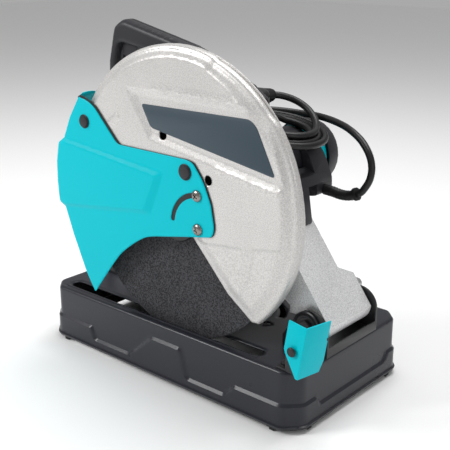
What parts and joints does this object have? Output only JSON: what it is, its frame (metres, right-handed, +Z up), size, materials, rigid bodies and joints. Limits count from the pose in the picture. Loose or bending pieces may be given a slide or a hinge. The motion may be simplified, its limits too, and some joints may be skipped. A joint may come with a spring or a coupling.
{
  "type": "abrasive chop saw",
  "caption": "Benchtop metal chop saw: pressed base pan, hinged arm with wheel guard, D handle, motor, abrasive wheel, folded front guard, vise, fence and spark plate.",
  "frame": {"origin": "centre of the footprint of the whole saw without its cord, at the height its rubber feet stand on", "axes": "+X along the base from the handle end to the pivot end, +Y along the spindle from the wheel to the motor, +Z up"},
  "size_m": [0.5467, 0.2705, 0.4971],
  "materials": {
    "base_paint": "satin black powder coat",
    "silver_paint": "silver hammer paint",
    "silver_cast": "silver hammer paint over the casting",
    "teal_paint": "smooth turquoise powder coat",
    "slate": "plain slate panel",
    "black_plastic": "fine grained black plastic",
    "steel": "zinc plated",
    "black_steel": "satin black",
    "abrasive": "bonded abrasive grain",
    "rubber": "matte",
    "copper": "turned copper",
    "laminations": "stacked laminations"
  },
  "bodies": {
    "base": {"base_pan": "base_paint", "foot_front_near": "rubber", "foot_front_far": "rubber", "foot_rear_near": "rubber", "foot_rear_far": "rubber", "pivot_bracket": "black_steel", "pivot_shaft": "steel", "arm_spring": "steel", "arm_stop_bolt": "steel", "vise_nut_bracket": "black_steel", "fence_pivot_bolt": "steel", "deflector_post": "black_steel", "deflector_bolt": "black_steel"},
    "arm": {"arm_casting": "silver_cast", "gear_cover": "silver_cast", "guard_back": "silver_paint", "guard_cover": "silver_paint", "guard_label": "slate", "front_guard_pivot_screw": "steel", "front_guard_clamp_screw": "steel", "spindle_bearing_front": "steel", "spindle_bearing_rear": "steel", "armature_bearing_front": "steel", "armature_bearing_rear": "steel", "motor_housing": "black_plastic", "motor_accent_band": "teal_paint", "motor_end_cap": "black_plastic", "stator": "laminations", "carbon_brush_upper": "black_steel", "carbon_brush_lower": "black_steel", "handle_near": "black_plastic", "handle_far": "black_plastic", "cord_gland": "black_plastic", "strain_relief": "rubber", "cord_lead": "rubber", "cord_coil": "rubber", "cord_plug": "rubber"},
    "spindle": {"spindle_shaft": "steel", "drive_gear": "steel", "inner_flange": "steel", "outer_flange": "black_steel", "abrasive_wheel": "abrasive", "wheel_bolt": "steel"},
    "armature": {"armature_shaft": "steel", "armature_core": "laminations", "commutator": "copper", "cooling_fan": "black_plastic", "pinion": "steel"},
    "front_guard": {"front_guard": "teal_paint", "guard_buffer_front": "rubber", "guard_buffer_rear": "rubber"},
    "trigger": {"trigger": "black_plastic"},
    "lock_on_button": {"lock_on_button": "black_plastic"},
    "spindle_lock": {"spindle_lock_button": "steel"},
    "fence": {"fence": "black_steel"},
    "lock_pin": {"lock_pin": "steel"},
    "vise_jaw": {"vise_jaw": "black_steel"},
    "vise_screw": {"vise_screw": "steel", "vise_crank": "black_steel"},
    "spark_deflector": {"spark_deflector": "teal_paint"}
  },
  "joints": [
    {"name": "arm_pivot", "type": "hinge", "parent": "base", "child": "arm", "pos_m": [0.2246, 0.0003, 0.125], "axis": [0, 1, 0], "range_deg": [0, 45]},
    {"name": "spindle_turn", "type": "hinge", "parent": "arm", "child": "spindle", "pos_m": [0.0326, -0.0497, 0.247], "axis": [0, 1, 0], "continuous": true},
    {"name": "armature_turn", "type": "hinge", "parent": "arm", "child": "armature", "pos_m": [0.0856, 0.0403, 0.303], "axis": [0, 1, 0], "continuous": true},
    {"name": "front_guard_swing", "type": "hinge", "parent": "arm", "child": "front_guard", "pos_m": [0.0905, -0.1252, 0.2438], "axis": [0, 1, 0], "range_deg": [0, 80]},
    {"name": "trigger_pull", "type": "hinge", "parent": "arm", "child": "trigger", "pos_m": [-0.0794, -0.0567, 0.467], "axis": [0, 1, 0], "range_deg": [0, 7], "stiffness_Nm_per_rad": 0.3, "springref_deg": -8.59},
    {"name": "lock_on_press", "type": "slide", "parent": "arm", "child": "lock_on_button", "axis": [0, -1, 0], "range_m": [0, 0.0025], "stiffness_N_per_m": 200, "springref_m": -0.001},
    {"name": "spindle_lock_press", "type": "slide", "parent": "arm", "child": "spindle_lock", "axis": [0, -1, 0], "range_m": [0, 0.004], "stiffness_N_per_m": 200, "springref_m": -0.001},
    {"name": "fence_swivel", "type": "hinge", "parent": "base", "child": "fence", "pos_m": [0.0686, -0.0197, 0.0873], "axis": [0, 0, 1], "range_deg": [-45, 0]},
    {"name": "lock_pin_slide", "type": "slide", "parent": "base", "child": "lock_pin", "axis": [0, -1, 0], "range_m": [0, 0.0022]},
    {"name": "vise_slide", "type": "slide", "parent": "base", "child": "vise_jaw", "axis": [1, 0, 0], "range_m": [-0.12, 0.015]},
    {"name": "vise_screw_turn", "type": "hinge", "parent": "vise_jaw", "child": "vise_screw", "pos_m": [-0.1834, 0.0203, 0.117], "axis": [1, 0, 0], "range_deg": [-10900, 1400]},
    {"name": "deflector_tilt", "type": "hinge", "parent": "base", "child": "spark_deflector", "pos_m": [0.25187, -0.12831, 0.12158], "axis": [0.0629, 0.9935, -0.0953], "range_deg": [-15, 9]}
  ],
  "couplings": [
    {"joint": "armature_turn", "follows": "spindle_turn", "ratio": -5.625},
    {"joint": "vise_screw_turn", "follows": "vise_slide", "rad_per_m": 1570.8}
  ]
}
